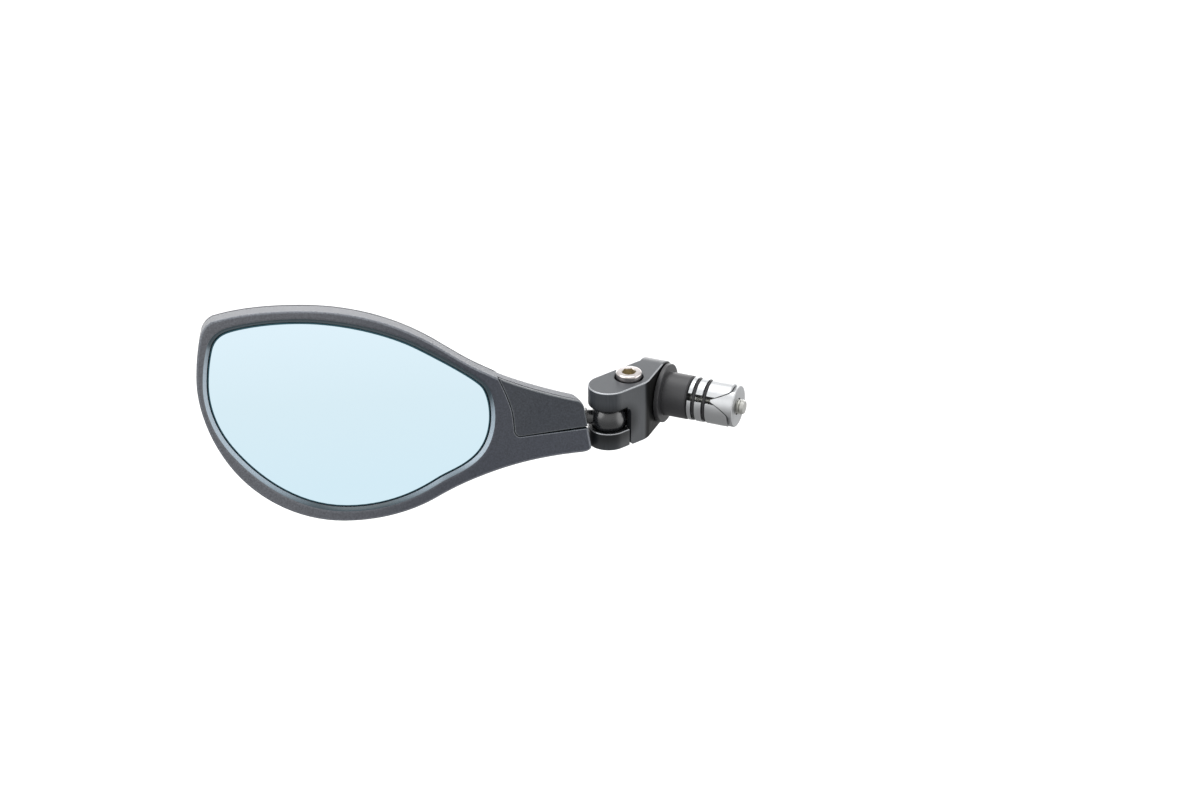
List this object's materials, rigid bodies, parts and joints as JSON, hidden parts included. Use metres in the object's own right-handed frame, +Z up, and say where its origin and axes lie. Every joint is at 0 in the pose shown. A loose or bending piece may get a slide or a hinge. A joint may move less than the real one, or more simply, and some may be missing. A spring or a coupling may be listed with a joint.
{
  "type": "bar-end bicycle mirror",
  "caption": "Teardrop bicycle mirror on a clamped ball joint and a short metal arm, held in the open end of a handlebar by an expanding plug.",
  "frame": {"origin": "top of the flange's seat on the handlebar's open end face, straight above the bar's axis by 10.1 mm, the middle of the tube's wall", "axes": "+X along the bar's axis into the bar, +Z up and parallel to the clamp bolt, -Y towards the rider; the mirror head reaches out to -X and -Y"},
  "size_m": [0.1889, 0.1141, 0.0833],
  "materials": {
    "housing_plastic": "fine-grained satin charcoal, injection moulded",
    "cover_plastic": "fine-grained satin black",
    "blue_mirror": "pale blue tinted mirror glass",
    "foam_tape": "white closed-cell foam tape",
    "black_steel": "black oxide, smooth",
    "nylon": "black nylon",
    "black_anodised": "matte black anodised, faintly brushed",
    "stainless_steel": "turned stainless steel",
    "zinc_steel": "zinc plated",
    "plain_aluminium": "as machined",
    "band_rubber": "matte"
  },
  "bodies": {
    "plug": {"plug_collar": "nylon", "retaining_band_1": "band_rubber", "retaining_band_2": "band_rubber"},
    "expander_bolt": {"expander_bolt": "zinc_steel"},
    "wedge_nut": {"expander_wedge_nut": "plain_aluminium"},
    "segment_1": {"expander_segment_1": "plain_aluminium"},
    "segment_2": {"expander_segment_2": "plain_aluminium"},
    "segment_3": {"expander_segment_3": "plain_aluminium"},
    "arm": {"knuckle_arm": "black_anodised", "clamp_washer": "stainless_steel", "expander_washer": "stainless_steel"},
    "clamp_bolt": {"clamp_bolt": "stainless_steel"},
    "jaw": {"clamp_jaw": "black_anodised", "lower_ball_seat": "nylon"},
    "seat": {"upper_ball_seat": "nylon"},
    "stud": {"ball_stud": "black_steel"},
    "head": {"head_frame": "housing_plastic", "head_shell": "housing_plastic", "neck_cover": "cover_plastic", "mirror_glass": "blue_mirror", "glass_pad": "foam_tape", "stud_nut": "zinc_steel", "stud_washer": "stainless_steel", "shell_screw_1": "stainless_steel", "shell_screw_2": "stainless_steel", "shell_screw_3": "stainless_steel", "neck_cover_screw": "stainless_steel"}
  },
  "joints": [
    {"name": "arm_swivel", "type": "hinge", "parent": "plug", "child": "arm", "pos_m": [0, 0, -0.0101], "axis": [1, 0, 0], "continuous": true},
    {"name": "expander_bolt_turn", "type": "hinge", "parent": "plug", "child": "expander_bolt", "pos_m": [0, 0, -0.0101], "axis": [1, 0, 0], "range_deg": [0, 756]},
    {"name": "wedge_slide", "type": "slide", "parent": "plug", "child": "wedge_nut", "axis": [-1, 0, 0], "range_m": [0, 0.002]},
    {"name": "segment_1_spread", "type": "slide", "parent": "plug", "child": "segment_1", "axis": [0, 0, 1], "range_m": [0, 0.00085]},
    {"name": "segment_2_spread", "type": "slide", "parent": "plug", "child": "segment_2", "axis": [0, -0.866, -0.5], "range_m": [0, 0.00085]},
    {"name": "segment_3_spread", "type": "slide", "parent": "plug", "child": "segment_3", "axis": [0, 0.866, -0.5], "range_m": [0, 0.00085]},
    {"name": "clamp_bolt_turn", "type": "hinge", "parent": "arm", "child": "clamp_bolt", "pos_m": [-0.01061, -0.01479, 0], "axis": [0, 0, 1], "range_deg": [0, 756]},
    {"name": "jaw_drop", "type": "slide", "parent": "arm", "child": "jaw", "axis": [0, 0, -1], "range_m": [0, 0.002]},
    {"name": "head_pan", "type": "hinge", "parent": "arm", "child": "seat", "pos_m": [-0.0154, -0.0238, -0.0116], "axis": [0, 0, 1], "range_deg": [-51, 119]},
    {"name": "head_tilt", "type": "hinge", "parent": "seat", "child": "stud", "pos_m": [-0.0154, -0.0238, -0.0116], "axis": [-0.4742, 0.8804, 0], "range_deg": [-4, 7]},
    {"name": "head_roll", "type": "hinge", "parent": "stud", "child": "head", "pos_m": [-0.0154, -0.0238, -0.0116], "axis": [0.8789, 0.4734, -0.058], "range_deg": [-20, 18]}
  ],
  "couplings": [
    {"joint": "expander_bolt_turn", "follows": "wedge_slide", "rad_per_m": 6283.2},
    {"joint": "segment_1_spread", "follows": "wedge_slide", "ratio": 0.4},
    {"joint": "segment_2_spread", "follows": "wedge_slide", "ratio": 0.4},
    {"joint": "segment_3_spread", "follows": "wedge_slide", "ratio": 0.4},
    {"joint": "clamp_bolt_turn", "follows": "jaw_drop", "rad_per_m": 6283.2}
  ]
}
